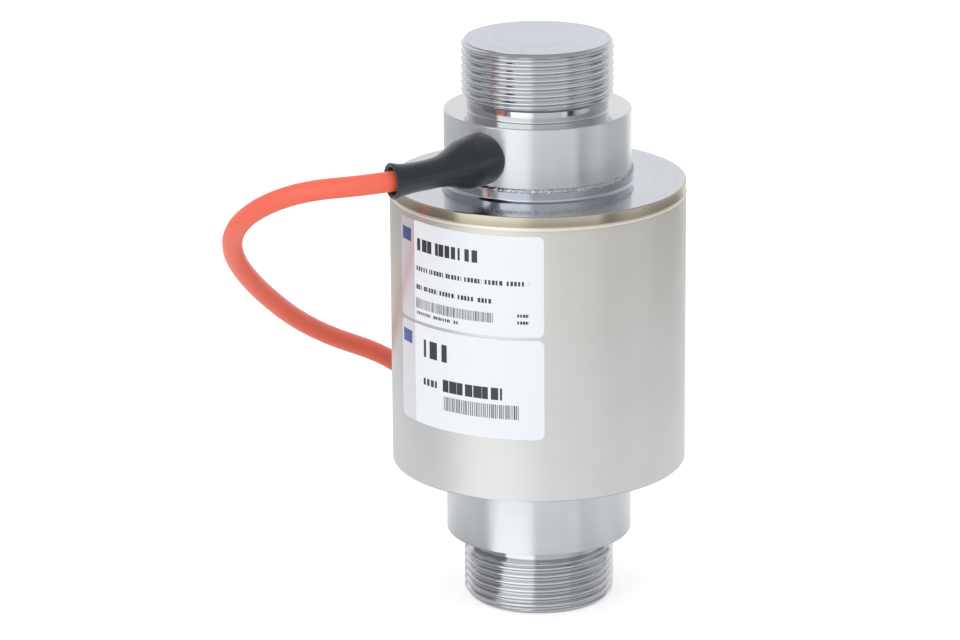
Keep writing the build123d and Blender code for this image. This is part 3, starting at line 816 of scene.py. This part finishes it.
def drawn_along(line, stations, around=48):
    """Rings set square to a line: stations are (distance along it, radius) in millimetres, in order."""
    lengths = [0.0]
    for before, after in zip(line, line[1:]):
        lengths.append(lengths[-1] + (after - before).length)

    def frame_at(distance):
        """The place at a distance along the line, turned so that its z runs along the line."""
        distance *= mm
        number = 1
        while number < len(line) - 1 and lengths[number] < distance:
            number += 1
        before, after = line[number - 1], line[number]
        ahead = (after - before).normalized()
        place = before + ahead * (distance - lengths[number - 1])
        side = ahead.cross(Vector((0, 0, 1))).normalized()
        return Matrix.Translation(place) @ Matrix((side, side.cross(ahead), ahead)).transposed().to_4x4()

    bm = bmesh.new()
    ring = None
    for distance, radius in stations:
        made = bmesh.ops.create_circle(
            bm, cap_ends=False, segments=around, radius=radius * mm, matrix=frame_at(distance)
        )["verts"]
        edges = list({edge for vert in made for edge in vert.link_edges})
        if ring is None:
            bmesh.ops.contextual_create(bm, geom=edges)
        else:
            bmesh.ops.bridge_loops(bm, edges=ring + edges)
        ring = edges
    bmesh.ops.contextual_create(bm, geom=ring)
    return bm


def make_sleeve(line, rubber):
    """Shrunk sleeve: fat over the nipple, tight on the cable, flared at its mouth."""
    over_nipple = [
        (-1.4, 6.1), (-1.25, 6.4), (-0.9, 6.58), (-0.3, 6.65), (0.8, 6.66), (2.0, 6.62), (3.5, 6.54),
        (5.5, 6.45), (7.0, 6.35), (8.3, 6.1),
    ]
    on_cable = [
        (9.6, 5.72), (11.0, 5.25), (12.5, 4.75), (14.0, 4.35), (15.8, 4.03), (18.0, 3.84), (20.5, 3.75),
        (23.0, 3.74), (25.0, 3.78), (26.8, 3.88), (28.4, 4.08), (29.8, 4.38), (30.6, 4.58),
    ]
    lip = [(30.9, 4.6), (31.1, 4.45), (31.15, 4.15), (31.0, 3.8), (30.6, 3.6)]
    inside = [(29.6, 3.35), (28.2, 3.0), (27.0, 2.7), (25.5, 2.55)]
    bm = drawn_along(line, over_nipple + on_cable + lip + inside, around=72)
    roughen(bm, depth=0.10, grain_size=3.2, seed=2.0)
    finished("shrunk_sleeve", bm, [rubber], "cable_sleeve", sharp=60)


def make_end_sleeve(line, rubber):
    """A short sleeve on the cable's far end, where the cores come out."""
    total = sum((after - before).length for before, after in zip(line, line[1:])) / mm
    from_end = (
        (-13.0, 2.62), (-12.9, 2.8), (-12.6, 2.9), (-8.0, 2.88), (-3.0, 2.9), (-1.0, 2.86), (-0.2, 2.7),
        (0.3, 2.4), (0.5, 1.9),
    )
    bm = drawn_along(line, [(total + distance, radius) for distance, radius in from_end])
    finished("end_sleeve", bm, [rubber], "cable_end_sleeve", sharp=60)


def make_label(name, node, high_z, film):
    """A film wrapped on the tube. Its map runs from 0 to 1 along it and up it."""
    bm = bmesh.new()
    corners = [bm.verts.new((x * label_w, y * label_h, 0)) for x, y in ((0, 0), (1, 0), (1, 1), (0, 1))]
    bm.faces.new(corners)
    bmesh.ops.bevel(
        bm, geom=corners, offset=label_corner_r, offset_type="OFFSET", segments=8, profile=0.5,
        affect="VERTICES", material=-1,
    )
    columns = 48
    for number in range(1, columns):
        across = (label_w * number / columns, 0, 0)
        bmesh.ops.bisect_plane(bm, geom=everything(bm), plane_co=across, plane_no=(1, 0, 0))
    lifted = bmesh.ops.extrude_face_region(bm, geom=bm.faces[:])["geom"]
    bmesh.ops.translate(bm, verts=verts_of(lifted), vec=(0, 0, film_thick))
    film_map = bm.loops.layers.uv.new("film")
    for face in bm.faces:
        for loop in face.loops:
            loop[film_map].uv = (loop.vert.co.x / label_w, loop.vert.co.y / label_h)
    for vert in bm.verts:
        angle = radians(label_start) + vert.co.x / casing_r
        radius = casing_r + film_lift + vert.co.z
        z = high_z - label_h + vert.co.y
        vert.co = Vector((radius * cos(angle), radius * sin(angle), z)) * mm
    finished(name, bm, [film], node)


def paint_nodes(materials):
    """Gives each remaining solid its own finish."""
    for node, material in materials.items():
        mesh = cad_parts[node].data
        mesh.materials.clear()
        mesh.materials.append(material)


# Studio


def make_key_light():
    """A soft light from the upper left, on the camera's side."""
    place, aim = Vector((-0.6, -0.8, 0.7)), Vector((0, 0, 0.08))
    lamp = bpy.data.lights.new("key", "AREA")
    lamp.shape = "RECTANGLE"
    lamp.size, lamp.size_y = 0.6, 0.8
    lamp.energy = 1.6
    holder = bpy.data.objects.new("key", lamp)
    bpy.context.collection.objects.link(holder)
    holder.location = place
    holder.rotation_mode = "QUATERNION"
    holder.rotation_quaternion = (aim - place).to_track_quat("-Z", "Y")


def make_world():
    """A soft white room, a little brighter above. To the camera and in reflections it is plain white."""
    world = bpy.data.worlds.new("studio")
    bpy.context.scene.world = world
    world.use_nodes = True
    tree = world.node_tree
    height = parts_of(tree, add(tree, "ShaderNodeTexCoord").outputs["Generated"])[2]
    room = ramp(tree, height, [
        (0.00, (0.78, 0.79, 0.80)),
        (0.35, (0.88, 0.90, 0.93)),
        (1.00, (0.95, 0.96, 0.98)),
    ])
    rays = add(tree, "ShaderNodeLightPath").outputs
    mirrored = sums(tree, "MAXIMUM", rays["Is Glossy Ray"], rays["Is Transmission Ray"])
    seen = sums(tree, "MAXIMUM", rays["Is Camera Ray"], mirrored)
    tree.links.new(blend_colours(tree, seen, room, grey(1.0)), tree.nodes["Background"].inputs["Color"])


def make_cards(name, inner, outer, tones):
    """A ring of grey and white cards round the object, which only polished metal shows.

    inner and outer are its edges, each a (radius, height), and tones are (angle, brightness), where
    0 degrees is the camera's side and lower angles are to its left.
    """
    strength = 2.0
    made = bpy.data.materials.new(name)
    made.use_nodes = True
    tree = made.node_tree
    parts = own_parts(tree)
    bearing = sums(tree, "ARCTAN2", parts[0], sums(tree, "MULTIPLY", parts[1], -1.0))
    turn = sums(tree, "MULTIPLY_ADD", bearing, 0.5 / pi, 0.5)
    brightness = ramp(tree, turn, [(0.5 + angle / 360, grey(tone / strength)) for angle, tone in tones])
    shine = add(tree, "ShaderNodeEmission", {"Color": brightness, "Strength": strength})
    tree.links.new(shine.outputs[0], tree.nodes["Material Output"].inputs["Surface"])
    tree.nodes.remove(tree.nodes["Principled BSDF"])
    cards = object_from(name, turned((inner, outer), steps=128, closed=False), [made])
    cards.visible_camera = False
    cards.visible_diffuse = False
    cards.visible_shadow = False


def make_floor():
    """A white table, lit up a little so that it fades into the white room."""
    half_size, depth, camera_glow, mirror_glow = 4.0, 0.02, 0.45, 0.25
    made, tree, shader = new_material(
        "white_table", Base_Color=grey(0.82), Roughness=0.7, Emission_Color=grey(1.0)
    )
    rays = add(tree, "ShaderNodeLightPath").outputs
    mirrored = sums(tree, "MAXIMUM", rays["Is Glossy Ray"], rays["Is Transmission Ray"])
    glow = sums(tree, "ADD", sums(tree, "MULTIPLY", rays["Is Camera Ray"], camera_glow),
                sums(tree, "MULTIPLY", mirrored, mirror_glow))
    tree.links.new(glow, shader.inputs["Emission Strength"])
    bm = bmesh.new()
    below = Matrix.Translation((0, 0, -depth * mm))
    bmesh.ops.create_grid(bm, x_segments=1, y_segments=1, size=half_size, matrix=below)
    floor = object_from("floor", bm, [made])


make_camera()
cable = make_cable()
line = centre_line(cable)
coral, slate = from_srgb(252, 107, 80), from_srgb(29, 35, 44)
jacket = plastic("coral_jacket", coral, 0.42, grains=2200.0, depth=0.02, tone=0.06, sheen=0.08)
rubber = plastic("slate_sleeve", slate, 0.31, grains=2600.0, depth=0.02, tone=0.14, sheen=0.2)
cable.data.materials.append(jacket)
make_sleeve(line, rubber)
make_end_sleeve(line, rubber)

make_measuring_body(
    turned_steel("turned_collar_steel", from_srgb(208, 211, 215), roughness=0.30,
                 lines_per_metre=9000.0, line_depth=0.003, stretch=0.93, uneven=0.06),
    turned_steel("bright_thread_steel", from_srgb(206, 208, 211), roughness=0.09,
                 lines_per_metre=14000.0, line_depth=0.002, stretch=0.3),
    turned_steel("faced_end_steel", from_srgb(191, 196, 206), roughness=0.22,
                 lines_per_metre=6000.0, line_depth=0.004, stretch=0.3),
    turned_steel("thread_steel", from_srgb(208, 210, 213), roughness=0.11,
                 lines_per_metre=14000.0, line_depth=0.002, stretch=0.3, dark_roots=True),
)
make_casing(
    casing_steel(),
    turned_steel("polished_plate_steel", from_srgb(194, 198, 205), roughness=0.12,
                 lines_per_metre=7000.0, line_depth=0.004, stretch=0.2, heat_reach=3.1),
    turned_steel("heat_tinted_rim_steel", from_srgb(190, 188, 180), roughness=0.24,
                 lines_per_metre=7000.0, line_depth=0.004, stretch=0.4, heat_reach=4.0),
)
make_welds(
    weld_steel("cream_seam_weld", from_srgb(231, 226, 214), smoothest=0.28, depth=0.012),
    weld_steel("silver_bead_weld", grey(0.52), smoothest=0.14, depth=0.04),
)
make_label("rating_label", "label_upper", upper_label_z, label_film("rating_film", (
    (0.9, 5.3, 20.2, 23.6, 0, 0, 0, True),
    (7.2, 28.0, 18.6, 21.8, 0.5, 0.78, 0.22, False),
    (7.3, 41.0, 13.3, 14.5, 1.05, 0.7, 0.17, False),
    (7.3, 31.2, 8.4, 9.6, 1.05, 0.7, 0.17, False),
    (7.2, 31.6, 3.4, 6.0, 2.2, 0.5, 0, False),
    (7.2, 22.0, 1.8, 2.6, 1.4, 0.7, 0.11, False),
    (37.8, 40.8, 5.2, 6.0, 1.4, 0.7, 0, False),
    (37.8, 40.8, 3.4, 4.2, 1.4, 0.7, 0, False),
)))
make_label("number_label", "label_lower", lower_label_z, label_film("number_film", (
    (0.9, 5.3, 20.2, 23.6, 0, 0, 0, True),
    (10.3, 18.4, 18.0, 22.6, 0.24, 0.8, 0, False),
    (10.1, 15.0, 10.6, 12.4, 0.7, 0.72, 0, False),
    (17.0, 33.9, 10.2, 13.4, 0.42, 0.8, 0, False),
    (17.0, 38.4, 5.3, 9.0, 1.9, 0.5, 0, False),
)))

tape = plastic("tie_tape", from_srgb(34, 34, 37), 0.6, grains=1400.0, depth=0.06, tone=0.2, sheen=0.4)
resistor = plastic("resistor_coating", from_srgb(58, 66, 84), 0.35)
tinned = plain_metal("tinned_copper", grey(0.72), 0.3)
foil = plastic("gauge_foil", from_srgb(214, 150, 66), 0.3, coat=0.3)
paint_nodes({
    "coil_tie_left": tape,
    "coil_tie_right": tape,
    "core_red": plastic("red_insulation", from_srgb(196, 32, 28), 0.4),
    "core_black": plastic("black_insulation", from_srgb(28, 28, 30), 0.4),
    "core_green": plastic("green_insulation", from_srgb(34, 130, 66), 0.4),
    "core_white": plastic("white_insulation", from_srgb(232, 232, 228), 0.4),
    "core_ferrules": tinned,
    "cable_nipple": plain_metal("nipple_steel", grey(0.6), 0.3),
    "nipple_potting": plastic("potting", from_srgb(38, 38, 40), 0.3),
    "inner_lead": plastic("bundle_wrap", from_srgb(150, 150, 150), 0.5),
    "strain_gauge_front": foil,
    "strain_gauge_back": foil,
    "strain_gauge_left": foil,
    "strain_gauge_right": foil,
    "gauge_terminals": tinned,
    "gauge_leads": plain_metal("enamelled_wire", from_srgb(176, 92, 50), 0.3),
    "circuit_board": plastic("board_laminate", from_srgb(44, 112, 70), 0.35, coat=0.4),
    "board_spacers": plain_metal("spacer_brass", from_srgb(214, 186, 116), 0.3),
    "board_screws": plain_metal("screw_steel", grey(0.58), 0.28),
    "trim_resistors": resistor,
    "temperature_resistor": resistor,
})

make_world()
make_floor()
make_cards("near_cards", (card_near_r, card_floor_z), (card_mid_r, card_floor_z), (
    (-180, 0.90), (-136, 0.80), (-110, 0.42), (-50, 0.34), (-47, 1.45), (-9, 1.45), (-4, 0.66), (40, 0.62),
    (62, 0.44), (84, 0.72), (104, 0.50), (150, 0.90), (180, 0.90),
))
make_cards("ceiling_cards", (card_far_r, card_top_z), (0, card_top_z + 1), ((-180, 0.46), (180, 0.46)))
make_cards("table_cards", (card_mid_r, card_floor_z), (card_far_r, card_floor_z), (
    (-180, 1.05), (-136, 1.00), (-62, 1.00), (-54, 1.32), (-10, 1.30), (-3, 1.12), (40, 1.10), (60, 1.02),
    (130, 1.00), (150, 1.05), (180, 1.05),
))
make_cards("low_cards", (card_far_r, card_floor_z), (card_far_r, card_low_z), (
    (-180, 1.30), (-160, 0.66), (-112, 0.40), (-92, 0.18), (-63, 0.12), (-60, 1.62), (-16, 1.55), (-9, 1.30),
    (-5, 0.76), (36, 0.72), (42, 0.92), (46, 0.92), (49, 0.05), (57, 0.05), (62, 0.46), (78, 0.74),
    (95, 0.36), (130, 0.45), (150, 1.10), (180, 1.30),
))
make_cards("high_cards", (card_far_r, card_high_z), (card_far_r, card_top_z), (
    (-180, 1.00), (-150, 0.90), (-120, 0.45), (-69, 0.36), (-64, 1.60), (-12, 1.55), (-6, 0.86), (40, 0.80),
    (60, 0.52), (95, 0.42), (135, 0.75), (155, 1.00), (180, 1.00),
))
make_key_light()
bpy.context.scene.view_settings.view_transform = "Standard"
